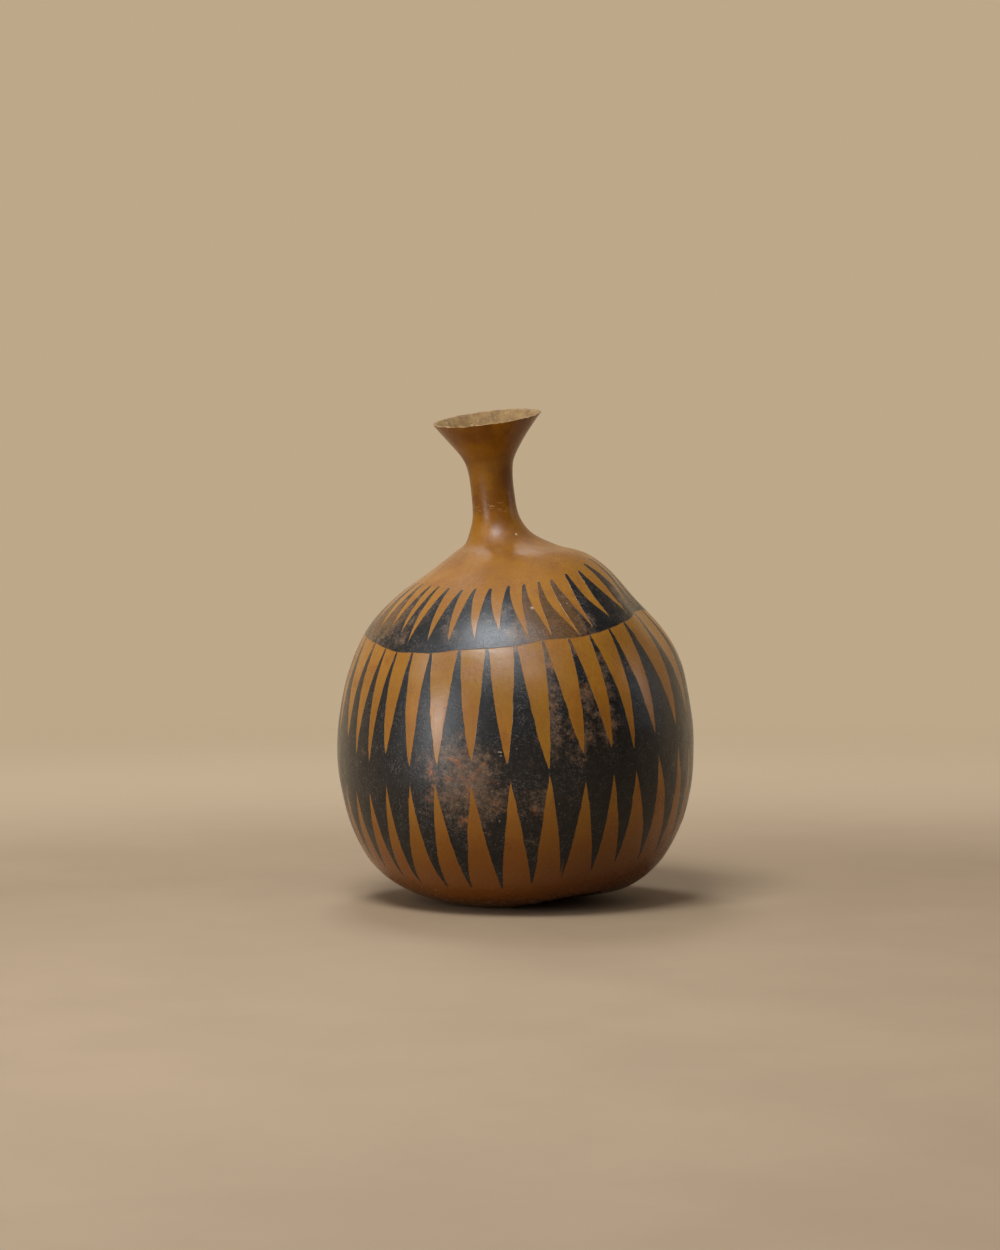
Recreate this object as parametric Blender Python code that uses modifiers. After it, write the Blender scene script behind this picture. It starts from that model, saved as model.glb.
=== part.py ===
"""A dried bottle gourd, cut open at the top to make a flask.

The fruit grew and dried as one piece, so it is one hollow wall: a round belly that stands on a small flat,
a shoulder that swells more on the right, a slim neck that leans to the left and to the front, and a mouth
that flares where the upper bulb was cut off on a slant.

Units are metres. +X is to the right, +Y to the back and +Z up. The gourd stands on z = 0, and the origin
is under the middle of the belly.
"""

import math

import bmesh
import bpy
from mathutils import Matrix, Vector

# The rings of the gourd from its base up, the last of them just past the lip: height of the ring's
# centre, its radius, and how far its centre lies to the right and to the back of the belly's middle
RINGS = (
    (-0.0010, 0.0120, -0.0060, -0.0040),
    (-0.0008, 0.0380, -0.0060, -0.0040),
    (0.0018, 0.0610, -0.0030, -0.0020),
    (0.0110, 0.0880, 0.0000, 0.0000),
    (0.0290, 0.1094, 0.0002, 0.0000),
    (0.0560, 0.1242, 0.0002, 0.0000),
    (0.0860, 0.1320, 0.0002, 0.0000),
    (0.1120, 0.1340, 0.0000, 0.0000),
    (0.1390, 0.1325, 0.0000, 0.0000),
    (0.1710, 0.1256, -0.0002, 0.0000),
    (0.2030, 0.1105, -0.0010, 0.0000),
    (0.2280, 0.0888, -0.0008, -0.0005),
    (0.2480, 0.0660, 0.0034, -0.0015),
    (0.2600, 0.0492, 0.0022, -0.0025),
    (0.2665, 0.0338, -0.0046, -0.0035),
    (0.2750, 0.0236, -0.0114, -0.0045),
    (0.2870, 0.0179, -0.0148, -0.0060),
    (0.3040, 0.0165, -0.0172, -0.0082),
    (0.3200, 0.0170, -0.0190, -0.0102),
    (0.3310, 0.0199, -0.0204, -0.0115),
    (0.3450, 0.0291, -0.0216, -0.0128),
    (0.3606, 0.0408, -0.0215, -0.0135),
    (0.3690, 0.0475, -0.0212, -0.0138),
)
STEPS_PER_RING = 2
COLUMNS = 56

# The mouth was cut on a slant: its plane drops to the left and to the front, from the neck up
SLANT_LEFT = math.radians(6.9)
SLANT_FRONT = math.radians(8.5)
SLANT_FROM = 0.3180
MOUTH_CENTRE = Vector((-0.0215, -0.0135, 0.3606))
CUTTER_SIDE = 0.130

# Soft lobes round the belly, as shares of its radius, which fade out below and above these radii
TWO_LOBES = 0.010
THREE_LOBES = 0.007
LOBES_FADE = (0.030, 0.090)

# Bulges and hollows: bearing from +X towards +Y in degrees, height, spread and rise off the surface
SWELLINGS = (
    (-38.0, 0.2380, 0.030, 0.0040),
    (-16.0, 0.2150, 0.022, -0.0038),
    (0.0, 0.1880, 0.024, 0.0022),
    (-58.0, 0.1650, 0.050, 0.0025),
    (120.0, 0.2200, 0.040, 0.0030),
    (180.0, 0.2450, 0.022, -0.0012),
    (75.0, 0.1500, 0.050, -0.0020),
)

# The hollow under the front right of the base, where the gourd stands clear of the surface
BASE_HOLLOW_CENTRE = (0.038, -0.038)
BASE_HOLLOW_SPREAD = 0.026
BASE_HOLLOW_DEPTH = 0.0095
BASE_HOLLOW_FADE = (0.0040, 0.0300)

WALL = 0.0046
LIP_WALL_SHARE = 0.52
THIN_WALL_FROM = 0.2400

SKIN_COLOUR = (0.38, 0.16, 0.042, 1.0)
SKIN_ROUGHNESS = 0.38


def ease(value, start, end):
    """0 below start, 1 above end and a smooth turn between them."""
    share = min(1.0, max(0.0, (value - start) / (end - start)))
    return share * share * (3.0 - 2.0 * share)


def curve_through(knots, steps):
    """Points on a smooth curve that passes through the knots, with this many steps from knot to knot."""
    before = 2.0 * knots[0] - knots[1]
    after = 2.0 * knots[-1] - knots[-2]
    guides = [before, *knots, after]
    points = []
    for a, b, c, d in zip(guides, guides[1:], guides[2:], guides[3:]):
        for step in range(steps):
            t = step / steps
            bend = 2.0 * a - 5.0 * b + 4.0 * c - d
            twist = 3.0 * b - a - 3.0 * c + d
            points.append(b + 0.5 * t * ((c - a) + t * (bend + t * twist)))
    points.append(knots[-1])
    return points


def lobes(bearing, radius):
    """How much a ring's radius grows at this bearing, as a share of it."""
    swell = TWO_LOBES * math.sin(2.0 * bearing)
    swell += THREE_LOBES * (math.sin(3.0 * bearing) + math.sin(bearing))
    return swell * ease(radius, *LOBES_FADE)


def swellings(height, bearing, radius):
    """How far the bulges and hollows move the surface out at this height and bearing."""
    rise = 0.0
    for centre, middle, spread, size in SWELLINGS:
        turn = bearing - math.radians(centre)
        turn = math.atan2(math.sin(turn), math.cos(turn))
        away = math.hypot(turn * radius, height - middle)
        rise += size * math.exp(-((away / spread) ** 2))
    return rise


def stood_on_floor(point):
    """The point with the hollow pressed into the base, and no lower than the floor."""
    away = math.hypot(point.x - BASE_HOLLOW_CENTRE[0], point.y - BASE_HOLLOW_CENTRE[1])
    fade = 1.0 - ease(point.z, *BASE_HOLLOW_FADE)
    point.z += fade * BASE_HOLLOW_DEPTH * math.exp(-((away / BASE_HOLLOW_SPREAD) ** 2))
    point.z = max(0.0, point.z)
    return point


def slanted(share):
    """The turn that tips a level ring by this share of the mouth's slant."""
    tip_left = Matrix.Rotation(-SLANT_LEFT * share, 3, "Y")
    tip_front = Matrix.Rotation(SLANT_FRONT * share, 3, "X")
    return tip_front @ tip_left


def ring_point(height, radius, right, back, bearing):
    """The place on the gourd's skin at this bearing of a ring."""
    level = Vector((math.cos(bearing), math.sin(bearing), 0.0))
    reach = radius * (1.0 + lobes(bearing, radius))
    reach += swellings(height, bearing, radius)
    tipped = slanted(ease(height, SLANT_FROM, MOUTH_CENTRE.z))
    point = Vector((right, back, height)) + tipped @ (level * reach)
    return stood_on_floor(point)


def skin_mesh():
    """The outside of the gourd as one open sheet: the base's disc, drawn out ring by ring past the lip."""
    stations = curve_through([Vector(ring) for ring in RINGS], STEPS_PER_RING)
    bm = bmesh.new()
    bearing = bm.verts.layers.float.new("bearing")
    bmesh.ops.create_circle(bm, cap_ends=True, segments=COLUMNS, radius=1.0)
    for corner in bm.verts:
        corner[bearing] = math.atan2(corner.co.y, corner.co.x)
    bmesh.ops.reverse_faces(bm, faces=bm.faces)
    corners = list(bm.verts)
    loop = list(bm.edges)
    for number, station in enumerate(stations):
        if number:
            drawn = bmesh.ops.extrude_edge_only(bm, edges=loop)["geom"]
            corners = [part for part in drawn if isinstance(part, bmesh.types.BMVert)]
            loop = [
                part
                for part in drawn
                if isinstance(part, bmesh.types.BMEdge) and all(end in corners for end in part.verts)
            ]
        for corner in corners:
            corner.co = ring_point(*station, corner[bearing])
    mesh = bpy.data.meshes.new("gourd")
    bm.to_mesh(mesh)
    bm.free()
    return mesh


def skin_material():
    """Oiled tan gourd skin."""
    material = bpy.data.materials.new("gourd_skin")
    material.use_nodes = True
    shader = material.node_tree.nodes["Principled BSDF"]
    shader.inputs["Base Color"].default_value = SKIN_COLOUR
    shader.inputs["Roughness"].default_value = SKIN_ROUGHNESS
    shader.inputs["Metallic"].default_value = 0.0
    return material


def give_wall(gourd):
    """Thickens the skin inwards, full in the belly and thinner from the shoulder up to the lip."""
    share = gourd.vertex_groups.new(name="wall_share")
    for corner in gourd.data.vertices:
        full = 1.0 - ease(corner.co.z, THIN_WALL_FROM, MOUTH_CENTRE.z)
        share.add([corner.index], full, "REPLACE")
    wall = gourd.modifiers.new("wall", "SOLIDIFY")
    wall.thickness = WALL
    wall.offset = -1.0
    wall.vertex_group = share.name
    wall.thickness_vertex_group = LIP_WALL_SHARE


def cut_mouth(gourd, cutters):
    """Saws the flare off on the mouth's slanted plane, which leaves a flat cut round the lip."""
    bm = bmesh.new()
    bmesh.ops.create_cube(bm, size=CUTTER_SIDE)
    mesh = bpy.data.meshes.new("mouth_cutter")
    bm.to_mesh(mesh)
    bm.free()
    cutter = bpy.data.objects.new("mouth_cutter", mesh)
    turn = slanted(1.0)
    cutter.location = MOUTH_CENTRE + turn @ Vector((0.0, 0.0, CUTTER_SIDE / 2.0))
    cutter.rotation_euler = turn.to_euler()
    cutter.display_type = "WIRE"
    cutter.hide_render = True
    cutters.objects.link(cutter)
    cut = gourd.modifiers.new("mouth", "BOOLEAN")
    cut.operation = "DIFFERENCE"
    cut.object = cutter


def new_collection(name):
    """A collection of this name in the scene."""
    collection = bpy.data.collections.new(name)
    bpy.context.scene.collection.children.link(collection)
    return collection


def main():
    for old in list(bpy.data.objects):
        bpy.data.objects.remove(old)
    mesh = skin_mesh()
    mesh.materials.append(skin_material())
    mesh.shade_smooth()
    gourd = bpy.data.objects.new("gourd", mesh)
    new_collection("bottle_gourd").objects.link(gourd)
    give_wall(gourd)
    cut_mouth(gourd, new_collection("cutters"))


main()
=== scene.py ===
import math
import random

import bmesh
import bpy
import numpy as np
from mathutils import Matrix, Vector, noise


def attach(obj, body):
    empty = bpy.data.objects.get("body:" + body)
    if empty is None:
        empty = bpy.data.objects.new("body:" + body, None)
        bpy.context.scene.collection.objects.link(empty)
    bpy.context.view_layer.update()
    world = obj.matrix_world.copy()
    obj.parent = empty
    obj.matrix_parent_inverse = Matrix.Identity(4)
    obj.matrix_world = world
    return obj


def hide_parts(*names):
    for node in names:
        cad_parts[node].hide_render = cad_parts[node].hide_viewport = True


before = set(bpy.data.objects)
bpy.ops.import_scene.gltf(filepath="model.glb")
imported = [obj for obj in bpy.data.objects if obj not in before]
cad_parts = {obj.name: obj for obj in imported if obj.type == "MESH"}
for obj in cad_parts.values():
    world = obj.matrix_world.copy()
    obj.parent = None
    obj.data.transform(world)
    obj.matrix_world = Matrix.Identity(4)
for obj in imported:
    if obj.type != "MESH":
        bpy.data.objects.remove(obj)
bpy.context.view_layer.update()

# The gourd's skin, ring by ring from its base up, the last ring just past the lip: height of the ring's
# centre, its radius, and how far its centre lies to the right and to the back of the belly's middle
RINGS = (
    (-0.0010, 0.0120, -0.0060, -0.0040),
    (-0.0008, 0.0380, -0.0060, -0.0040),
    (0.0018, 0.0610, -0.0030, -0.0020),
    (0.0110, 0.0880, 0.0000, 0.0000),
    (0.0290, 0.1094, 0.0002, 0.0000),
    (0.0560, 0.1242, 0.0002, 0.0000),
    (0.0860, 0.1320, 0.0002, 0.0000),
    (0.1120, 0.1340, 0.0000, 0.0000),
    (0.1390, 0.1325, 0.0000, 0.0000),
    (0.1710, 0.1256, -0.0002, 0.0000),
    (0.2030, 0.1105, -0.0010, 0.0000),
    (0.2280, 0.0888, -0.0008, -0.0005),
    (0.2480, 0.0660, 0.0034, -0.0015),
    (0.2600, 0.0492, 0.0022, -0.0025),
    (0.2665, 0.0338, -0.0046, -0.0035),
    (0.2750, 0.0236, -0.0114, -0.0045),
    (0.2870, 0.0179, -0.0148, -0.0060),
    (0.3040, 0.0165, -0.0172, -0.0082),
    (0.3200, 0.0170, -0.0190, -0.0102),
    (0.3310, 0.0199, -0.0204, -0.0115),
    (0.3450, 0.0291, -0.0216, -0.0128),
    (0.3606, 0.0408, -0.0215, -0.0135),
    (0.3690, 0.0475, -0.0212, -0.0138),
)
COLUMNS = 360
STEPS_OUTSIDE = 8
STEPS_INSIDE = 2

# The mouth's plane drops to the left and to the front, from the neck up
SLANT_LEFT = math.radians(6.9)
SLANT_FRONT = math.radians(8.5)
SLANT_FROM = 0.3180
MOUTH_CENTRE = Vector((-0.0215, -0.0135, 0.3606))

# Soft lobes round the belly, as shares of a ring's radius: none on rings smaller than the first of the
# two radii, and in full on rings larger than the second
TWO_LOBES = 0.010
THREE_LOBES = 0.007
LOBES_FADE = (0.030, 0.090)

# Bulges and hollows: bearing from +X towards +Y in degrees, height, spread and rise off the surface
SWELLINGS = (
    (-38.0, 0.2380, 0.030, 0.0040),
    (-16.0, 0.2150, 0.022, -0.0038),
    (0.0, 0.1880, 0.024, 0.0022),
    (-58.0, 0.1650, 0.050, 0.0025),
    (120.0, 0.2200, 0.040, 0.0030),
    (180.0, 0.2450, 0.022, -0.0012),
    (75.0, 0.1500, 0.050, -0.0020),
)

# The hollow under the front right of the base
BASE_HOLLOW_CENTRE = (0.038, -0.038)
BASE_HOLLOW_SPREAD = 0.026
BASE_HOLLOW_DEPTH = 0.0095
BASE_HOLLOW_FADE = (0.0040, 0.0300)

WALL = 0.0046
LIP_WALL = 0.0024
THIN_WALL_FROM = 0.2400

# Unevenness of the skin, always inwards: size of the lumps across and their depth, and the heights
# between which they set in above the base
LUMPS = ((0.045, 0.00050), (0.014, 0.00016))
LUMPS_SET_IN = (0.0005, 0.0120)

# Wear of the lip: its depth, how far down it reaches, how much of it there is at the least, and its
# waves, each with its size across and strength
LIP_WEAR = 0.0007
LIP_WEAR_REACH = 0.0030
LIP_WEAR_LEAST = 0.25
LIP_WEAR_WAVES = ((0.009, 1.0), (0.0030, 0.8))
LIP_ROUNDING = 0.0004

# The painted rows. A place is the bearing from the front towards the right in degrees, and the height in
# millimetres. A tip is where a dark tooth ends, and a gap where the bare skin between two teeth ends.
# These are the places seen from the front; the rows are carried on round the back.
SHOULDER_TIPS = (
    (-63, 238), (-53, 237), (-46, 237), (-38, 236), (-29, 235), (-22, 236), (-14, 236), (-5, 238),
    (3, 239), (11, 241), (18, 242), (28, 246), (38, 248), (48, 253), (64, 257),
)
SHOULDER_GAPS = (
    (-57, 206), (-49, 203), (-43, 197), (-34, 199), (-25, 198), (-15, 200), (-6, 206), (5, 201),
    (14, 203), (25, 203), (32, 208), (43, 215), (56, 218), (69, 220),
)
UPPER_TIPS = (
    (-76, 198), (-63, 195), (-54, 192), (-47, 190), (-39, 190), (-31, 190), (-20, 193), (-10, 194),
    (0, 196), (10, 200), (20, 201), (29, 203), (39, 207), (49, 211), (66, 217), (83, 218),
)
UPPER_GAPS = (
    (-68, 125), (-61, 114), (-53, 110), (-45, 117), (-35, 109), (-25, 111), (-14, 115), (-3, 113),
    (10, 109), (21, 120), (31, 123), (40, 121), (50, 131), (64, 135), (76, 140),
)
LOWER_TIPS = (
    (-70, 32), (-61, 27), (-51, 24), (-43, 21), (-30, 19), (-19, 20), (-6, 20), (6, 24),
    (17, 27), (29, 33), (39, 38), (52, 38), (63, 39), (74, 40),
)
LOWER_GAPS = (
    (-63, 88), (-54, 88), (-45, 95), (-35, 97), (-26, 98), (-14, 98), (-2, 101), (10, 106),
    (22, 100), (32, 105), (41, 106), (52, 116), (65, 121),
)

# At the back: how far one tooth is from the next and how far a place strays, in the same units
TOOTH_PITCH = 9.6
BEARING_STRAY = 1.2
HEIGHT_STRAY = 1.2
STRAY_SEED = 11

# The slit in one tooth's tip in the lower row: where it lies, counted in teeth from the left, its width
# in teeth and its length as a share of the tooth
SPLIT_TOOTH = 7.98
SPLIT_WIDTH = 0.035
SPLIT_LENGTH = 0.26

# Where hands have rubbed the paint brown: bearing, height, spread across and spread up, in degrees and
# millimetres as above, and strength
RUBBED = (
    (-68, 214, 24, 24, 1.50),
    (-30, 205, 10, 14, 0.45),
    (14, 214, 14, 28, 2.80),
    (62, 226, 16, 20, 0.55),
    (-16, 96, 13, 28, 1.55),
    (-14, 128, 10, 22, 0.45),
    (6, 84, 8, 22, 0.60),
    (11, 160, 5, 40, 0.85),
    (22, 140, 7, 30, 0.80),
    (31, 158, 5, 26, 0.75),
    (47, 185, 7, 26, 0.60),
    (-74, 110, 18, 60, 0.45),
    (74, 90, 18, 60, 0.45),
    (130, 140, 26, 30, 0.80),
    (205, 90, 30, 24, 0.80),
    (190, 210, 20, 18, 1.20),
    (250, 180, 18, 40, 0.70),
)

# Bare skin
OCHRE_DEEP = (0.250, 0.096, 0.007, 1.0)
OCHRE = (0.335, 0.137, 0.011, 1.0)
OLIVE = (0.245, 0.112, 0.004, 1.0)
RUSSET = (0.21, 0.060, 0.005, 1.0)
FIBRE_BROWN = (0.17, 0.060, 0.007, 1.0)
FLECK_PALE = (0.42, 0.24, 0.075, 1.0)
MARK_BROWN = (0.090, 0.026, 0.004, 1.0)
NECK_DEEP = (0.140, 0.040, 0.0005, 1.0)
NECK_AMBER = (0.250, 0.095, 0.001, 1.0)
# The base: partly its own reddish brown and partly painted shade towards the floor
BASE_BROWN_AND_SHADE = (0.165, 0.045, 0.0012, 1.0)
# Painted shade laid on the lower right of the base
BASE_PAINTED_SHADE = (0.036, 0.006, 0.001, 1.0)
NICK_PALE = (0.40, 0.26, 0.12, 1.0)

# Paint, whole and rubbed
PAINT_BLACK = (0.0018, 0.0017, 0.0020, 1.0)
PAINT_GREY = (0.0085, 0.0078, 0.0078, 1.0)
DUST_GREY = (0.036, 0.032, 0.031, 1.0)
SCUFF_GREY = (0.125, 0.113, 0.103, 1.0)
RUBBED_DEEP = (0.078, 0.048, 0.030, 1.0)
RUBBED_PALE = (0.165, 0.098, 0.056, 1.0)
RUBBED_TAN = (0.125, 0.054, 0.010, 1.0)
RUBBED_SPECK = (0.022, 0.013, 0.008, 1.0)
RUST = (0.330, 0.098, 0.022, 1.0)
CHIP_PALE = (0.42, 0.36, 0.28, 1.0)

# The inside of the wall and the cut lip
INSIDE_PALE = (0.28, 0.163, 0.056, 1.0)
INSIDE_BROWN = (0.165, 0.088, 0.026, 1.0)
INSIDE_SPECK = (0.12, 0.065, 0.028, 1.0)
INSIDE_FLECK = (0.52, 0.42, 0.28, 1.0)

# Depth of the fine relief in the skin and inside, and how much longer a hair scratch is than wide
SKIN_RELIEF = 0.00014
INSIDE_RELIEF = 0.00025
HAIR_STRETCH = 4.5

# The floor: its radius, how far it lies under the base, and the place that its paling, a painted light,
# spreads out from
FLOOR_RADIUS = 4.0
FLOOR_DROP = 0.0004
FLOOR_MIDDLE = (0.0, -0.45, 0.0)
FLOOR_PALE = (0.350, 0.246, 0.150, 1.0)
FLOOR_DEEP = (0.325, 0.228, 0.138, 1.0)
FLOOR_FAR_PAINTED_LIGHT = (0.85, 0.66, 0.45, 1.0)

# The backdrop as it looks, and its light from the front and from overhead
BACKDROP = (0.515, 0.392, 0.255, 1.0)
BACKDROP_FRONT = (0.11, 0.085, 0.060, 1.0)
BACKDROP_ABOVE = (0.17, 0.165, 0.16, 1.0)

# The soft lights, all turned to one place in the belly: name, bearing from the front towards the right
# and elevation in degrees, distance, width, height, watts and colour
LIT_PLACE = Vector((0.0, 0.0, 0.16))
SOFT_LIGHTS = (
    ("soft_left", -50.0, 7.0, 1.9, 0.32, 0.84, 12.5, (0.90, 0.95, 1.0)),
    ("soft_far_left", -72.0, 33.0, 1.9, 0.22, 0.42, 2.2, (0.90, 0.95, 1.0)),
    ("soft_above_left", -24.0, 58.5, 1.7, 0.74, 0.56, 27.0, (0.90, 0.95, 1.0)),
    ("soft_above_back", -166.0, 60.0, 1.7, 0.50, 0.44, 10.0, (0.92, 0.96, 1.0)),
    ("soft_above_front", 2.0, 41.0, 1.9, 1.10, 0.40, 3.0, (0.95, 0.97, 1.0)),
    ("soft_right", 98.0, 16.0, 2.0, 0.30, 0.76, 2.2, (0.80, 0.90, 1.0)),
)

# The camera: how far in front of the belly's middle, how high and how far to the right it is, how far it
# is tipped down, and its focal length as a share of the picture's height
CAMERA_DISTANCE = 2.30
CAMERA_HEIGHT = 0.3083
CAMERA_RIGHT = -0.0118
CAMERA_DROP = math.radians(2.555)
FOCAL_SHARE = 3070.0 / 1250.0
SENSOR_HEIGHT = 36.0


def ease(value, start, end):
    """0 below start, 1 above end and a smooth turn between them."""
    share = min(1.0, max(0.0, (value - start) / (end - start)))
    return share * share * (3.0 - 2.0 * share)


def curve_through(knots, steps):
    """Points on a smooth curve that passes through the knots, with this many steps from knot to knot."""
    before = 2.0 * knots[0] - knots[1]
    after = 2.0 * knots[-1] - knots[-2]
    guides = [before, *knots, after]
    points = []
    for a, b, c, d in zip(guides, guides[1:], guides[2:], guides[3:]):
        for step in range(steps):
            t = step / steps
            bend = 2.0 * a - 5.0 * b + 4.0 * c - d
            twist = 3.0 * b - a - 3.0 * c + d
            points.append(b + 0.5 * t * ((c - a) + t * (bend + t * twist)))
    points.append(knots[-1])
    return points


def lobes(bearing, radius):
    """How much a ring's radius grows at this bearing, as a share of it."""
    swell = TWO_LOBES * math.sin(2.0 * bearing)
    swell += THREE_LOBES * (math.sin(3.0 * bearing) + math.sin(bearing))
    return swell * ease(radius, *LOBES_FADE)


def swellings(height, bearing, radius):
    """How far the bulges and hollows move the surface out at this height and bearing."""
    rise = 0.0
    for centre, middle, spread, size in SWELLINGS:
        turn = bearing - math.radians(centre)
        turn = math.atan2(math.sin(turn), math.cos(turn))
        away = math.hypot(turn * radius, height - middle)
        rise += size * math.exp(-((away / spread) ** 2))
    return rise


def stood_on_floor(point):
    """The point with the hollow pressed into the base, and no lower than the floor."""
    away = math.hypot(point.x - BASE_HOLLOW_CENTRE[0], point.y - BASE_HOLLOW_CENTRE[1])
    fade = 1.0 - ease(point.z, *BASE_HOLLOW_FADE)
    point.z += fade * BASE_HOLLOW_DEPTH * math.exp(-((away / BASE_HOLLOW_SPREAD) ** 2))
    point.z = max(0.0, point.z)
    return point


def slanted(share):
    """The turn that tips a level ring by this share of the mouth's slant."""
    tip_left = Matrix.Rotation(-SLANT_LEFT * share, 3, "Y")
    tip_front = Matrix.Rotation(SLANT_FRONT * share, 3, "X")
    return tip_front @ tip_left


def ring_point(height, radius, right, back, bearing):
    """The place on the gourd's skin at this bearing of a ring."""
    level = Vector((math.cos(bearing), math.sin(bearing), 0.0))
    reach = radius * (1.0 + lobes(bearing, radius))
    reach += swellings(height, bearing, radius)
    tipped = slanted(ease(height, SLANT_FROM, MOUTH_CENTRE.z))
    point = Vector((right, back, height)) + tipped @ (level * reach)
    return stood_on_floor(point)


def skin_sheet(steps):
    """The outside as one open sheet, drawn out ring by ring past the lip."""
    stations = curve_through([Vector(ring) for ring in RINGS], steps)
    bm = bmesh.new()
    bearing = bm.verts.layers.float.new("bearing")
    length = bm.verts.layers.float.new("length")
    bmesh.ops.create_circle(bm, cap_ends=True, segments=COLUMNS, radius=1.0)
    for corner in bm.verts:
        corner[bearing] = math.atan2(corner.co.y, corner.co.x)
    bmesh.ops.reverse_faces(bm, faces=bm.faces)
    corners = list(bm.verts)
    loop = list(bm.edges)
    drawn_length = 0.0
    for number, station in enumerate(stations):
        if number:
            drawn = bmesh.ops.extrude_edge_only(bm, edges=loop)["geom"]
            corners = [part for part in drawn if isinstance(part, bmesh.types.BMVert)]
            ring = set(corners)
            edges = [part for part in drawn if isinstance(part, bmesh.types.BMEdge)]
            loop = [edge for edge in edges if edge.verts[0] in ring and edge.verts[1] in ring]
            drawn_length += (station.xy - stations[number - 1].xy).length
        for corner in corners:
            corner.co = ring_point(*station, corner[bearing])
            corner[length] = drawn_length
    return bm


def saw_mouth(bm):
    """Cuts off what stands above the mouth's slanted plane."""
    bmesh.ops.bisect_plane(
        bm,
        geom=[*bm.verts, *bm.edges, *bm.faces],
        dist=1e-6,
        plane_co=MOUTH_CENTRE,
        plane_no=slanted(1.0) @ Vector((0.0, 0.0, 1.0)),
        clear_outer=True,
    )


def press_lumps(bm):
    """Presses the soft unevenness of a dried skin into the outside."""
    bm.normal_update()
    moves = []
    for corner in bm.verts:
        depth = 0.0
        for number, (across, deep) in enumerate(LUMPS):
            wave = noise.noise(corner.co / across + Vector((7.0 * number, 3.0, 0.0)))
            depth += deep * min(1.0, max(0.0, 0.5 + wave))
        moves.append(corner.normal * depth * ease(corner.co.z, *LUMPS_SET_IN))
    for corner, move in zip(bm.verts, moves):
        corner.co -= move


def move_in_by_wall(bm):
    """Moves a sheet of the skin inwards by the wall's thickness and turns it to face the hollow."""
    bm.normal_update()
    moves = []
    for corner in bm.verts:
        share = ease(corner.co.z, THIN_WALL_FROM, MOUTH_CENTRE.z)
        moves.append(corner.normal * (WALL + share * (LIP_WALL - WALL)))
    for corner, move in zip(bm.verts, moves):
        corner.co -= move
    bmesh.ops.reverse_faces(bm, faces=bm.faces)


def wear_lip(bm, rim):
    """Rounds the lip's two edges and wears the cut face down unevenly."""
    edges = [edge for edge in bm.edges if sum(face in rim for face in edge.link_faces) == 1]
    bmesh.ops.bevel(
        bm, geom=edges, offset=LIP_ROUNDING, segments=2, profile=0.5, affect="EDGES", material=-1
    )
    up = slanted(1.0) @ Vector((0.0, 0.0, 1.0))
    for corner in bm.verts:
        below = (MOUTH_CENTRE - corner.co).dot(up)
        if below < LIP_WEAR_REACH:
            wave = sum(size * noise.noise(corner.co / across) for across, size in LIP_WEAR_WAVES)
            share = 1.0 - ease(below, 0.0, LIP_WEAR_REACH)
            corner.co -= up * (LIP_WEAR * share * min(1.0, max(0.0, LIP_WEAR_LEAST + wave)))


def gourd_mesh():
    """Both sides of the wall, joined round the lip. The outside has material 0, the rest material 1."""
    outside = skin_sheet(STEPS_OUTSIDE)
    press_lumps(outside)
    saw_mouth(outside)
    inside = skin_sheet(STEPS_INSIDE)
    move_in_by_wall(inside)
    saw_mouth(inside)
    for face in inside.faces:
        face.material_index = 1
    mesh = bpy.data.meshes.new("gourd_whole")
    inside.to_mesh(mesh)
    outside.from_mesh(mesh)
    inside.free()
    edges = [edge for edge in outside.edges if edge.is_boundary]
    rim = set(bmesh.ops.bridge_loops(outside, edges=edges)["faces"])
    for face in rim:
        face.material_index = 1
    wear_lip(outside, rim)
    bmesh.ops.recalc_face_normals(outside, faces=outside.faces)
    for face in outside.faces:
        face.smooth = True
    outside.to_mesh(mesh)
    outside.free()
    return mesh


def carried_round(tips, gaps, draw):
    """A row's places all the way round: the ones seen in front, and evenly strayed ones at the back."""
    start, end = tips[-1][0], tips[0][0] + 360.0
    count = round((end - start) / TOOTH_PITCH)
    back = []
    for number in range(1, count):
        share = number / count
        bearing = start + share * (end - start) + draw.uniform(-BEARING_STRAY, BEARING_STRAY)
        height = tips[-1][1] + share * (tips[0][1] - tips[-1][1])
        back.append((bearing, height + draw.uniform(-HEIGHT_STRAY, HEIGHT_STRAY)))
    all_tips = [*tips, *back]
    lean_before = gaps[-1][0] - (tips[-1][0] + tips[-2][0]) / 2.0
    lean_after = gaps[0][0] - (tips[0][0] + tips[1][0]) / 2.0
    ends = [*all_tips[len(tips) - 1 :], (end, tips[0][1])]
    back_gaps = []
    for number, (one, other) in enumerate(zip(ends, ends[1:])):
        share = (number + 1) / len(ends)
        lean = lean_before + ease(share, 0.0, 1.0) * (lean_after - lean_before)
        bearing = (one[0] + other[0]) / 2.0 + lean + draw.uniform(-BEARING_STRAY, BEARING_STRAY) / 2.0
        height = gaps[-1][1] + share * (gaps[0][1] - gaps[-1][1])
        back_gaps.append((bearing, height + draw.uniform(-HEIGHT_STRAY, HEIGHT_STRAY)))
    return all_tips, [*gaps, *back_gaps]


def line_round(places, first):
    """Bearings, numbers and heights in metres of a row's places, repeated a turn to each side."""
    count = len(places)
    bearings, numbers, heights = [], [], []
    for lap in (-1, 0, 1):
        for number, (bearing, height) in enumerate(places):
            bearings.append(bearing + 360.0 * lap)
            numbers.append(first + number + count * lap)
            heights.append(height / 1000.0)
    return bearings, numbers, heights


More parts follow.
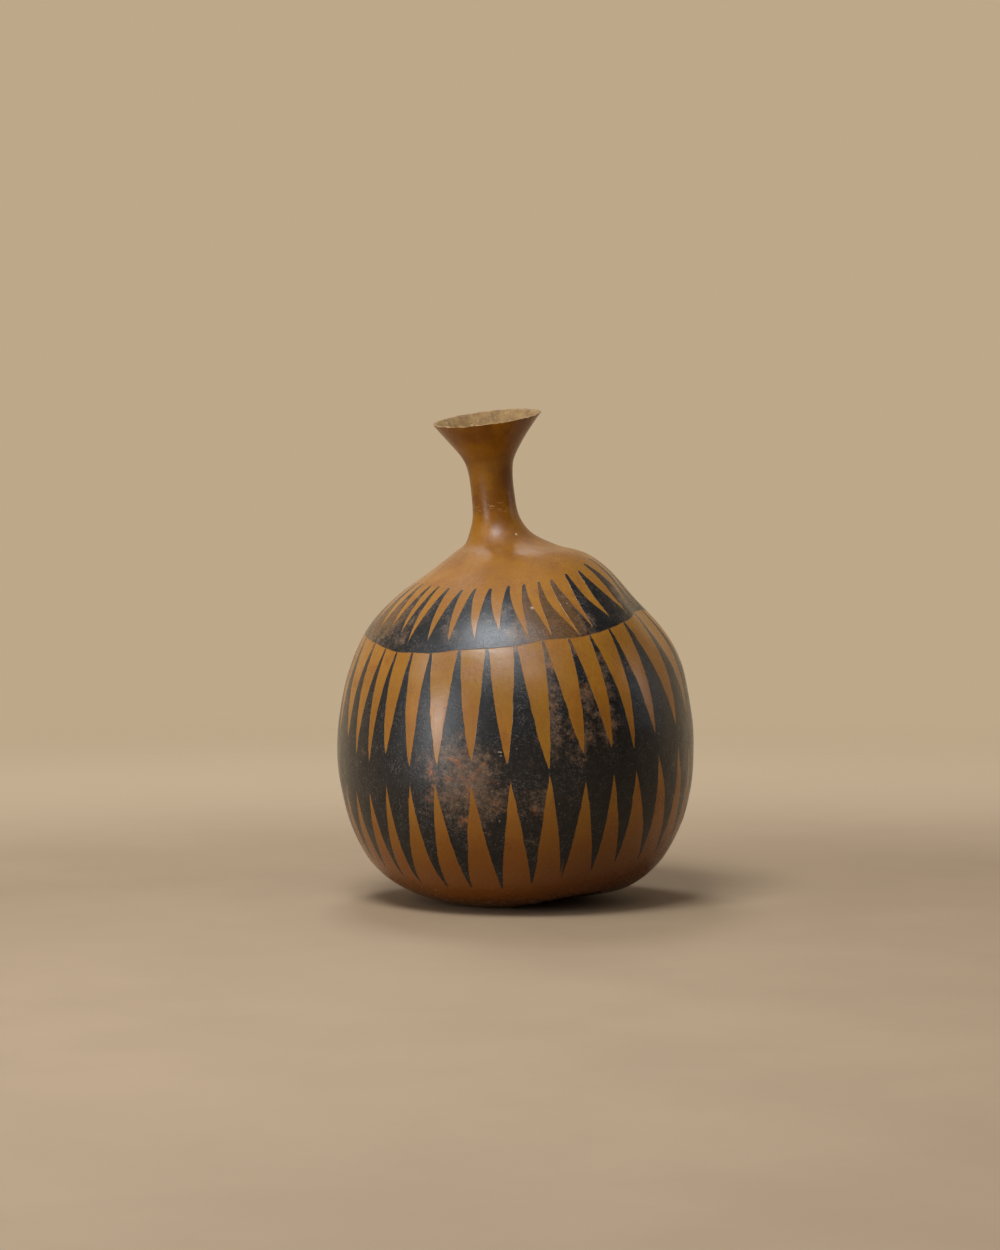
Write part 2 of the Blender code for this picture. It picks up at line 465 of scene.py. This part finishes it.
def corner_places(mesh):
    """Bearing from the front in degrees, with no jump inside a face, and length up the skin at each corner
    of the faces."""
    vertex = np.empty(len(mesh.loops), np.int32)
    mesh.loops.foreach_get("vertex_index", vertex)
    bearing = np.empty(len(mesh.vertices), np.float32)
    mesh.attributes["bearing"].data.foreach_get("value", bearing)
    length = np.empty(len(mesh.vertices), np.float32)
    mesh.attributes["length"].data.foreach_get("value", length)
    first = np.empty(len(mesh.polygons), np.int32)
    mesh.polygons.foreach_get("loop_start", first)
    total = np.empty(len(mesh.polygons), np.int32)
    mesh.polygons.foreach_get("loop_total", total)
    front = np.degrees(bearing[vertex]) + 90.0
    lead = np.repeat(front[first], total)
    front = lead + (front - lead + 180.0) % 360.0 - 180.0
    return front, length[vertex]


def length_up_to(heights):
    """Length up the skin at each of these ring heights."""
    stations = curve_through([Vector(ring) for ring in RINGS], STEPS_OUTSIDE)
    steps = [(b.xy - a.xy).length for a, b in zip(stations, stations[1:])]
    lengths = np.concatenate([[0.0], np.cumsum(steps)])
    rising = slice(STEPS_OUTSIDE, None)
    return np.interp(heights, [station.x for station in stations][rising], lengths[rising])


def map_row(mesh, name, tips, gaps, places):
    """A UV map for a painted row: across, one for each tooth from tip to tip; up, 0 at tips and 1 at gaps."""
    front, length = places
    tip_bearings, tip_numbers, tip_heights = line_round(tips, 0.0)
    gap_bearings, gap_numbers, gap_heights = line_round(gaps, 0.5)
    tip_line = np.interp(front, tip_bearings, length_up_to(tip_heights))
    gap_line = np.interp(front, gap_bearings, length_up_to(gap_heights))
    up = (length - tip_line) / (gap_line - tip_line)
    share = np.clip(up, 0.0, 1.0)
    across = (1.0 - share) * np.interp(front, tip_bearings, tip_numbers)
    across += share * np.interp(front, gap_bearings, gap_numbers)
    uv = mesh.uv_layers.new(name=name)
    uv.uv.foreach_set("vector", np.stack([across, up], 1).astype(np.float32).ravel())


def mark_rubbed(mesh):
    """A value at each vertex for how much the paint is rubbed there."""
    rubbed = mesh.attributes.new("rubbed", "FLOAT", "POINT")
    bearings = mesh.attributes["bearing"].data
    for corner in mesh.vertices:
        front = math.degrees(bearings[corner.index].value) + 90.0
        total = 0.0
        for bearing, height, across, up, strength in RUBBED:
            turn = (front - bearing + 180.0) % 360.0 - 180.0
            rise = corner.co.z * 1000.0 - height
            total += strength * math.exp(-((turn / across) ** 2) - (rise / up) ** 2)
        rubbed.data[corner.index].value = total


def map_paint(mesh):
    """The three painted rows' UV maps and the rubbed places."""
    places = corner_places(mesh)
    draw = random.Random(STRAY_SEED)
    for name, tips, gaps in (
        ("shoulder_row", SHOULDER_TIPS, SHOULDER_GAPS),
        ("upper_row", UPPER_TIPS, UPPER_GAPS),
        ("lower_row", LOWER_TIPS, LOWER_GAPS),
    ):
        all_tips, all_gaps = carried_round(tips, gaps, draw)
        map_row(mesh, name, all_tips, all_gaps, places)
    mark_rubbed(mesh)


def plug(tree, node, inputs):
    """Gives the node's inputs these values, or links them to other nodes' outputs."""
    for name, value in inputs.items():
        if isinstance(value, bpy.types.NodeSocket):
            tree.links.new(value, node.inputs[name])
        else:
            node.inputs[name].default_value = value


def add(tree, kind, inputs=None, **settings):
    """A new node with these settings and inputs."""
    made = tree.nodes.new(kind)
    for name, value in settings.items():
        setattr(made, name, value)
    plug(tree, made, inputs or {})
    return made


def calc(tree, operation, *values, clamp=False):
    """The result of a Math node."""
    inputs = dict(enumerate(values))
    return add(tree, "ShaderNodeMath", inputs, operation=operation, use_clamp=clamp).outputs[0]


def times(tree, product, *others):
    """All the values multiplied, one after the other."""
    for other in others:
        product = calc(tree, "MULTIPLY", product, other)
    return product


def centred(tree, value):
    """A value between 0 and 1 moved to lie round 0."""
    return calc(tree, "SUBTRACT", value, 0.5)


def ramp(tree, value, low, high, to_low=0.0, to_high=1.0):
    """The value eased from low..high to to_low..to_high and held beyond."""
    inputs = {"Value": value, "From Min": low, "From Max": high, "To Min": to_low, "To Max": to_high}
    return add(tree, "ShaderNodeMapRange", inputs, interpolation_type="SMOOTHSTEP").outputs["Result"]


def blend(tree, share, first, second):
    """Two colours mixed by a share. The node's sockets share their names, so they are taken by number."""
    inputs = {0: share, 6: first, 7: second}
    return add(tree, "ShaderNodeMix", inputs, data_type="RGBA").outputs[2]


def grain(tree, place, scale, detail=2.0, roughness=0.5):
    """A noise value between 0 and 1."""
    inputs = {"Vector": place, "Scale": scale, "Detail": detail, "Roughness": roughness}
    return add(tree, "ShaderNodeTexNoise", inputs).outputs["Fac"]


def scaled(tree, place, scale):
    """The place stretched by these factors along its three axes."""
    return add(tree, "ShaderNodeMapping", {"Vector": place, "Scale": scale}).outputs[0]


def split(tree, place):
    """The X, Y and Z of a place."""
    return add(tree, "ShaderNodeSeparateXYZ", {"Vector": place}).outputs


def new_group(name, inputs, outputs):
    """A shader node group with these sockets, as (tree, what comes in, what goes out)."""
    tree = bpy.data.node_groups.new(name, "ShaderNodeTree")
    for title, kind, value in inputs:
        socket = tree.interface.new_socket(name=title, in_out="INPUT", socket_type=kind)
        socket.default_value = value
    for title, kind in outputs:
        tree.interface.new_socket(name=title, in_out="OUTPUT", socket_type=kind)
    return tree, tree.nodes.new("NodeGroupInput").outputs, tree.nodes.new("NodeGroupOutput").inputs


def use(tree, group, inputs):
    """The outputs of a group placed in a tree with these inputs."""
    return add(tree, "ShaderNodeGroup", inputs, node_tree=group).outputs


def tooth_row_group():
    """A row of painted teeth: dark where the place lies outside the gap between two tips."""
    tree, given, result = new_group(
        "painted teeth",
        (
            ("Place", "NodeSocketVector", (0.0, 0.0, 0.0)),
            ("Tip width", "NodeSocketFloat", 0.1),
            ("Bow", "NodeSocketFloat", 1.0),
            ("Wobble", "NodeSocketFloat", 0.0),
        ),
        (("Painted", "NodeSocketFloat"),),
    )
    softness = 0.012
    parts = split(tree, given["Place"])
    phase = calc(tree, "ADD", parts["X"], given["Wobble"])
    from_gap = calc(tree, "ABSOLUTE", centred(tree, calc(tree, "FRACT", phase)))
    share = calc(tree, "MULTIPLY", parts["Y"], 1.0, clamp=True)
    narrowing = calc(tree, "POWER", calc(tree, "SUBTRACT", 1.0, share), given["Bow"])
    widest = calc(tree, "MULTIPLY_ADD", given["Tip width"], -0.5, 0.5)
    gap = calc(tree, "MULTIPLY", narrowing, widest)
    past = calc(tree, "SUBTRACT", from_gap, gap)
    edge = calc(tree, "MULTIPLY_ADD", share, softness, past)
    painted = calc(tree, "DIVIDE", edge, softness, clamp=True)
    started = ramp(tree, parts["Y"], -0.004, softness)
    tree.links.new(calc(tree, "MULTIPLY", painted, started), result["Painted"])
    return tree


def slit_group():
    """A thin bare slit that runs up from the tip of one numbered tooth."""
    tree, given, result = new_group(
        "slit in a tooth",
        (
            ("Place", "NodeSocketVector", (0.0, 0.0, 0.0)),
            ("Number", "NodeSocketFloat", 0.0),
            ("Width", "NodeSocketFloat", 0.05),
            ("Length", "NodeSocketFloat", 0.15),
        ),
        (("Bare", "NodeSocketFloat"),),
    )
    parts = split(tree, given["Place"])
    away = calc(tree, "ABSOLUTE", calc(tree, "SUBTRACT", parts["X"], given["Number"]))
    left = calc(tree, "SUBTRACT", 1.0, calc(tree, "DIVIDE", parts["Y"], given["Length"]), clamp=True)
    half = calc(tree, "MULTIPLY", left, given["Width"])
    tree.links.new(calc(tree, "GREATER_THAN", half, away), result["Bare"])
    return tree


def hand_wobble_group():
    """The wander of a hand-drawn edge: slow and small, with a finer tremble."""
    tree, given, result = new_group(
        "hand wobble",
        (("Place", "NodeSocketVector", (0.0, 0.0, 0.0)), ("Amount", "NodeSocketFloat", 0.03)),
        (("Wobble", "NodeSocketFloat"),),
    )
    total = 0.0
    for scale, strength in ((55.0, 1.0), (420.0, 0.35), (170.0, 0.45)):
        wave = centred(tree, grain(tree, given["Place"], scale))
        total = calc(tree, "MULTIPLY_ADD", wave, strength, total)
    tree.links.new(calc(tree, "MULTIPLY", total, given["Amount"]), result["Wobble"])
    return tree


def scratches_group():
    """Short hair scratches that run four ways, in clouds."""
    tree, given, result = new_group(
        "hair scratches",
        (("Place", "NodeSocketVector", (0.0, 0.0, 0.0)), ("Amount", "NodeSocketFloat", 0.5)),
        (("Scratched", "NodeSocketFloat"),),
    )
    found = 0.0
    for turn, fineness in ((0.5, 1150.0), (-0.9, 950.0), (1.4, 1250.0), (2.5, 1050.0)):
        inputs = {
            "Vector": given["Place"],
            "Rotation": (turn, 0.4 * turn, turn),
            "Scale": (1.0 / fineness, 1.0 / fineness, HAIR_STRETCH / fineness),
        }
        place = add(tree, "ShaderNodeMapping", inputs, vector_type="TEXTURE").outputs[0]
        hairs = ramp(tree, grain(tree, place, 1.0, 1.0), 0.64, 0.74)
        found = calc(tree, "MAXIMUM", found, hairs)
    where = ramp(tree, grain(tree, given["Place"], 80.0, 3.0), 0.40, 0.64, 0.08, 1.0)
    amount = calc(tree, "MULTIPLY", where, given["Amount"])
    tree.links.new(calc(tree, "MULTIPLY", found, amount, clamp=True), result["Scratched"])
    return tree


def chips_group():
    """Scattered small chips and ring-shaped blisters, each with its own size."""
    tree, given, result = new_group(
        "chips",
        (
            ("Place", "NodeSocketVector", (0.0, 0.0, 0.0)),
            ("Scale", "NodeSocketFloat", 160.0),
            ("Share", "NodeSocketFloat", 0.1),
            ("Size", "NodeSocketFloat", 0.2),
        ),
        (("Chipped", "NodeSocketFloat"), ("Ringed", "NodeSocketFloat")),
    )
    cells = add(tree, "ShaderNodeTexVoronoi", {"Vector": given["Place"], "Scale": given["Scale"]})
    tint = add(tree, "ShaderNodeSeparateColor", {"Color": cells.outputs["Color"]}).outputs
    ragged = calc(tree, "MULTIPLY_ADD", grain(tree, given["Place"], 900.0), 0.12, cells.outputs["Distance"])
    ragged = calc(tree, "SUBTRACT", ragged, 0.06)
    reach = calc(tree, "MULTIPLY", calc(tree, "MULTIPLY_ADD", tint["Green"], 0.7, 0.3), given["Size"])
    chosen = calc(tree, "LESS_THAN", tint["Red"], given["Share"])
    chipped = calc(tree, "MULTIPLY", chosen, calc(tree, "LESS_THAN", ragged, reach))
    tree.links.new(chipped, result["Chipped"])
    blistered = calc(tree, "GREATER_THAN", tint["Red"], calc(tree, "SUBTRACT", 1.0, given["Share"]))
    off_ring = calc(tree, "ABSOLUTE", calc(tree, "MULTIPLY_ADD", reach, -1.6, ragged))
    ring = calc(tree, "MULTIPLY", blistered, calc(tree, "LESS_THAN", off_ring, 0.035))
    tree.links.new(ring, result["Ringed"])
    return tree


def painted_share(tree, place):
    """How far each place is painted: the shoulder row above the upper row's tips, the other two below."""
    teeth = tooth_row_group()
    wobble = use(tree, hand_wobble_group(), {"Place": place, "Amount": 0.07})["Wobble"]
    maps = {}
    rows = {}
    for name, tip_width, bow in (
        ("shoulder_row", 0.17, 0.92),
        ("upper_row", 0.11, 0.72),
        ("lower_row", 0.05, 0.92),
    ):
        maps[name] = add(tree, "ShaderNodeUVMap", uv_map=name).outputs[0]
        inputs = {"Place": maps[name], "Tip width": tip_width, "Bow": bow, "Wobble": wobble}
        rows[name] = use(tree, teeth, inputs)["Painted"]
    inputs = {
        "Place": maps["lower_row"],
        "Number": SPLIT_TOOTH,
        "Width": SPLIT_WIDTH,
        "Length": SPLIT_LENGTH,
    }
    slit = use(tree, slit_group(), inputs)["Bare"]
    lower_two = calc(tree, "MINIMUM", rows["upper_row"], rows["lower_row"])
    lower_two = calc(tree, "SUBTRACT", lower_two, slit, clamp=True)
    from_tips = calc(tree, "MULTIPLY_ADD", wobble, 0.25, split(tree, maps["upper_row"])["Y"])
    above_tips = ramp(tree, from_tips, 0.006, -0.004)
    change = calc(tree, "SUBTRACT", rows["shoulder_row"], lower_two)
    return calc(tree, "MULTIPLY_ADD", above_tips, change, lower_two)


def neck_nicks(tree, place, parts):
    """Small pale nicks that run round the neck in one narrow belt."""
    around_neck = scaled(tree, place, (190.0, 190.0, 1300.0))
    nicks = ramp(tree, grain(tree, around_neck, 1.0, 2.0), 0.60, 0.70)
    above = ramp(tree, parts["Z"], 0.286, 0.293)
    below = ramp(tree, parts["Z"], 0.300, 0.296)
    return times(tree, above, below, nicks, 0.55)


def bare_skin(tree, place, parts, grains):
    """The unpainted skin: clouded ochre with fibres and marks, darker on the neck, and at the base partly
    browner and partly painted shade.
    """
    broad = grain(tree, place, 14.0, 4.0, 0.6)
    fibres = grain(tree, scaled(tree, place, (1.0, 1.0, 0.18)), 420.0, 3.0, 0.6)
    colour = blend(tree, ramp(tree, broad, 0.3, 0.7), OCHRE_DEEP, OCHRE)
    olive = ramp(tree, grain(tree, place, 11.0, 2.0, 0.5), 0.50, 0.66, 0.0, 0.6)
    colour = blend(tree, olive, colour, OLIVE)
    colour = blend(tree, ramp(tree, grains["middle"], 0.45, 0.75, 0.0, 0.55), colour, RUSSET)
    colour = blend(tree, ramp(tree, fibres, 0.40, 0.75, 0.0, 0.30), colour, FIBRE_BROWN)
    colour = blend(tree, ramp(tree, grains["fine"], 0.55, 0.75, 0.0, 0.25), colour, FLECK_PALE)
    marks = ramp(tree, grain(tree, place, 260.0, 3.0, 0.6), 0.64, 0.76, 0.0, 0.40)
    colour = blend(tree, marks, colour, MARK_BROWN)
    clouded = ramp(tree, grain(tree, place, 42.0, 4.0, 0.6), 0.38, 0.62)
    neck_tint = blend(tree, clouded, NECK_DEEP, NECK_AMBER)
    colour = blend(tree, ramp(tree, parts["Z"], 0.226, 0.290, 0.0, 0.78), colour, neck_tint)
    # Towards the base: partly its own brown and partly painted shade
    colour = blend(tree, ramp(tree, parts["Z"], 0.120, 0.006, 0.0, 0.85), colour, BASE_BROWN_AND_SHADE)
    # Painted shade: the base darkened towards its lower right, the side away from the lamps
    low = ramp(tree, parts["Z"], 0.075, 0.004)
    right = ramp(tree, parts["X"], -0.03, 0.09, 0.0, 0.65)
    colour = blend(tree, times(tree, low, right), colour, BASE_PAINTED_SHADE)
    return blend(tree, neck_nicks(tree, place, parts), colour, NICK_PALE)


def dark_paint(tree, place, parts, grains, scratched):
    """The paint: black with dust and pale scratches, both fainter on the right as painted shade, and brown
    with rust spots where hands have rubbed it.
    """
    rubbed = add(tree, "ShaderNodeAttribute", attribute_name="rubbed").outputs["Fac"]
    patches = grain(tree, place, 55.0, 5.0, 0.62)
    speckle = grains["speckle"]
    blotches = grain(tree, place, 190.0, 3.0, 0.6)
    uneven = calc(tree, "MULTIPLY_ADD", centred(tree, speckle), 0.45, patches)
    uneven = calc(tree, "MULTIPLY_ADD", centred(tree, blotches), 0.30, uneven)
    worn = ramp(tree, calc(tree, "MULTIPLY_ADD", rubbed, 0.34, uneven), 0.62, 0.96)
    shoulder = ramp(tree, parts["Z"], 0.175, 0.205)
    brown = blend(tree, ramp(tree, blotches, 0.36, 0.64), RUBBED_DEEP, RUBBED_PALE)
    tanned = times(tree, shoulder, ramp(tree, rubbed, 0.5, 1.8))
    brown = blend(tree, tanned, brown, RUBBED_TAN)
    brown = blend(tree, ramp(tree, speckle, 0.58, 0.40, 0.0, 0.45), brown, RUBBED_SPECK)
    black = blend(tree, ramp(tree, blotches, 0.35, 0.70), PAINT_BLACK, PAINT_GREY)
    # Dust, fainter towards the right as painted shade and fullest on the lit left
    dust_lit_left = ramp(tree, speckle, 0.48, 0.72, 0.0, 0.6)
    dust_lit_left = times(tree, dust_lit_left, ramp(tree, parts["X"], 0.02, 0.08, 1.0, 0.3))
    black = blend(tree, dust_lit_left, black, DUST_GREY)
    colour = blend(tree, times(tree, worn, 0.92), black, brown)
    spots = ramp(tree, grain(tree, place, 105.0, 4.0, 0.60), 0.53, 0.72)
    spots = times(tree, spots, calc(tree, "MULTIPLY_ADD", shoulder, -0.6, 0.85), worn)
    colour = blend(tree, spots, colour, RUST)
    # Scratches, fainter towards the right as painted shade and fullest on the lit left
    scratches_lit_left = times(tree, scratched, ramp(tree, parts["X"], 0.02, 0.08, 0.72, 0.35))
    return blend(tree, scratches_lit_left, colour, SCUFF_GREY)


def chipped_share(tree, place, painted):
    """Where the surface is broken: chips all over, and broken blisters and pricks in the paint."""
    chips = chips_group()
    large = use(tree, chips, {"Place": place, "Scale": 85.0, "Share": 0.030, "Size": 0.10})
    small = use(tree, chips, {"Place": place, "Scale": 300.0, "Share": 0.035, "Size": 0.17})
    broken = ramp(tree, grain(tree, place, 330.0, 2.0), 0.44, 0.56)
    rings = times(tree, large["Ringed"], painted, broken)
    pricks = times(tree, small["Chipped"], times(tree, painted, 0.6))
    chipped = calc(tree, "MAXIMUM", large["Chipped"], rings)
    return calc(tree, "MAXIMUM", chipped, pricks)


def skin_roughness(tree, parts, grains, scratched):
    """How matt the skin is: most in scratches and at the neck's foot."""
    rough = ramp(tree, grains["middle"], 0.3, 0.75, 0.18, 0.29)
    rough = calc(tree, "MULTIPLY_ADD", centred(tree, grains["speckle"]), 0.25, rough)
    above = ramp(tree, parts["Z"], 0.256, 0.268)
    below = ramp(tree, parts["Z"], 0.290, 0.276, 0.4, 1.0)
    rough = calc(tree, "MULTIPLY_ADD", times(tree, above, below), 0.18, rough)
    return calc(tree, "MULTIPLY_ADD", scratched, 0.18, rough)


def skin_relief(tree, grains, painted, scratched, chipped):
    """The skin's fine relief: grainier on the paint, with the scratches and chips cut into it."""
    speckle_height = calc(tree, "MULTIPLY_ADD", painted, 1.2, 0.8)
    fine_height = calc(tree, "MULTIPLY_ADD", painted, 0.4, 0.45)
    relief = times(tree, painted, 0.12)
    for layer, height in (
        (grains["speckle"], speckle_height),
        (grains["fine"], fine_height),
        (scratched, -0.6),
        (chipped, -1.2),
        (grains["middle"], 2.0),
    ):
        relief = calc(tree, "MULTIPLY_ADD", layer, height, relief)
    inputs = {"Height": relief, "Strength": 0.9, "Distance": SKIN_RELIEF}
    return add(tree, "ShaderNodeBump", inputs).outputs[0]


def skin_sheen(tree, parts):
    """The oil's soft broad sheen, which is weaker on the right, up the neck and towards the base."""
    across = ramp(tree, parts["X"], 0.01, 0.08, 0.75, 0.12)
    neck = ramp(tree, parts["Z"], 0.262, 0.285, 1.0, 0.10)
    base = ramp(tree, parts["Z"], 0.040, 0.135, 0.15, 1.0)
    return times(tree, across, neck, base)


def new_material(name):
    """A material, its tree and the place read in the piece's own space."""
    material = bpy.data.materials.new(name)
    material.use_nodes = True
    tree = material.node_tree
    return material, tree, add(tree, "ShaderNodeTexCoord").outputs["Object"]


def skin_material():
    """The oiled outside: ochre skin, three rows of dark painted teeth, rubbed, scratched and chipped."""
    material, tree, place = new_material("gourd_skin_painted")
    parts = split(tree, place)
    grains = {
        "middle": grain(tree, place, 70.0, 5.0, 0.6),
        "fine": grain(tree, place, 900.0, 3.0, 0.65),
        "speckle": grain(tree, place, 520.0, 4.0, 0.75),
    }
    painted = painted_share(tree, place)
    scratched = use(tree, scratches_group(), {"Place": place, "Amount": 0.7})["Scratched"]
    chipped = chipped_share(tree, place, painted)
    bare = bare_skin(tree, place, parts, grains)
    dark = dark_paint(tree, place, parts, grains, scratched)
    colour = blend(tree, painted, bare, dark)
    colour = blend(tree, times(tree, chipped, 0.70), colour, CHIP_PALE)
    inputs = {
        "Base Color": colour,
        "Roughness": skin_roughness(tree, parts, grains, scratched),
        "IOR": 1.39,
        "Normal": skin_relief(tree, grains, painted, scratched, chipped),
        "Coat Weight": skin_sheen(tree, parts),
        "Coat Roughness": 0.52,
        "Coat IOR": 1.40,
    }
    plug(tree, tree.nodes["Principled BSDF"], inputs)
    return material


def inside_material():
    """The dry inside of the wall and the cut lip: pale, rough, fibrous and specked."""
    material, tree, place = new_material("gourd_inside_dry")
    cloud = grain(tree, place, 130.0, 5.0, 0.70)
    specks = grain(tree, place, 620.0, 3.0, 0.7)
    flecks = grain(tree, place, 380.0, 2.0, 0.6)
    colour = blend(tree, ramp(tree, cloud, 0.35, 0.68), INSIDE_PALE, INSIDE_BROWN)
    colour = blend(tree, ramp(tree, specks, 0.56, 0.74, 0.0, 0.6), colour, INSIDE_SPECK)
    colour = blend(tree, ramp(tree, flecks, 0.66, 0.74, 0.0, 0.7), colour, INSIDE_FLECK)
    relief = calc(tree, "MULTIPLY_ADD", cloud, 1.5, specks)
    inputs = {"Height": relief, "Strength": 0.9, "Distance": INSIDE_RELIEF}
    bump = add(tree, "ShaderNodeBump", inputs).outputs[0]
    plug(tree, tree.nodes["Principled BSDF"], {"Base Color": colour, "Roughness": 0.82, "Normal": bump})
    return material


def make_gourd():
    """The gourd in fine detail, in the place of its plain solid."""
    mesh = gourd_mesh()
    map_paint(mesh)
    for name in ("bearing", "length"):
        mesh.attributes.remove(mesh.attributes[name])
    mesh.materials.append(skin_material())
    mesh.materials.append(inside_material())
    gourd = bpy.data.objects.new("gourd_painted", mesh)
    bpy.context.scene.collection.objects.link(gourd)
    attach(gourd, "root")
    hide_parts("gourd")


def floor_material():
    """Plain warm pale floor, uneven in a soft way, painted paler with distance as painted light, and fading
    out with distance.
    """
    material, tree, place = new_material("floor_plain")
    inputs = {0: place, 1: FLOOR_MIDDLE}
    away = add(tree, "ShaderNodeVectorMath", inputs, operation="DISTANCE").outputs["Value"]
    cloud = ramp(tree, grain(tree, place, 6.0, 5.0, 0.6), 0.3, 0.7)
    near = blend(tree, cloud, FLOOR_PALE, FLOOR_DEEP)
    # Painted light: the floor turns paler farther out, where the lamps light it less
    tone = blend(tree, ramp(tree, away, 0.60, 1.9), near, FLOOR_FAR_PAINTED_LIGHT)
    faded = ramp(tree, away, 0.70, 2.4, 1.0, 0.0)
    plug(tree, tree.nodes["Principled BSDF"], {"Base Color": tone, "Roughness": 0.75, "Alpha": faded})
    return material


def make_floor():
    """A wide floor under the gourd."""
    bm = bmesh.new()
    bmesh.ops.create_circle(bm, cap_ends=True, segments=96, radius=FLOOR_RADIUS)
    bmesh.ops.translate(bm, vec=(0.0, 0.0, -FLOOR_DROP), verts=bm.verts)
    mesh = bpy.data.meshes.new("floor")
    bm.to_mesh(mesh)
    bm.free()
    mesh.materials.append(floor_material())
    floor = bpy.data.objects.new("floor", mesh)
    bpy.context.scene.collection.objects.link(floor)


def make_world():
    """A backdrop that looks plain and pale, and whose light is dimmer from the front and overhead."""
    world = bpy.data.worlds.new("backdrop")
    bpy.context.scene.world = world
    world.use_nodes = True
    tree = world.node_tree
    parts = split(tree, add(tree, "ShaderNodeTexCoord").outputs["Generated"])
    light = blend(tree, ramp(tree, parts["Y"], 0.0, 0.80), BACKDROP_FRONT, BACKDROP)
    light = blend(tree, ramp(tree, parts["Z"], 0.25, 0.80, 0.0, 0.75), light, BACKDROP_ABOVE)
    seen = add(tree, "ShaderNodeLightPath").outputs["Is Camera Ray"]
    inputs = {"Color": blend(tree, seen, light, BACKDROP), "Strength": 1.0}
    plug(tree, tree.nodes["Background"], inputs)


def make_light(name, bearing, elevation, distance, width, height, watts, colour):
    """A soft rectangular light that faces the belly from this bearing and elevation."""
    light = bpy.data.lights.new(name, "AREA")
    light.shape = "RECTANGLE"
    light.size = width
    light.size_y = height
    light.energy = watts
    light.color = colour
    lamp = bpy.data.objects.new(name, light)
    bpy.context.scene.collection.objects.link(lamp)
    turn = math.radians(bearing)
    rise = math.radians(elevation)
    away = Vector((math.sin(turn) * math.cos(rise), -math.cos(turn) * math.cos(rise), math.sin(rise)))
    lamp.location = LIT_PLACE + away * distance
    lamp.rotation_euler = away.to_track_quat("Z", "Y").to_euler()


def make_camera():
    """The camera in front of the gourd, as high as its neck and tipped down a little."""
    camera_data = bpy.data.cameras.new("camera")
    camera_data.sensor_fit = "VERTICAL"
    camera_data.sensor_height = SENSOR_HEIGHT
    camera_data.lens = FOCAL_SHARE * SENSOR_HEIGHT
    camera = bpy.data.objects.new("camera", camera_data)
    bpy.context.scene.collection.objects.link(camera)
    camera.location = (CAMERA_RIGHT, -CAMERA_DISTANCE, CAMERA_HEIGHT)
    camera.rotation_euler = (math.pi / 2.0 - CAMERA_DROP, 0.0, 0.0)
    bpy.context.scene.camera = camera


make_gourd()
make_floor()
make_world()
for soft_light in SOFT_LIGHTS:
    make_light(*soft_light)
make_camera()
bpy.context.scene.view_settings.view_transform = "Standard"
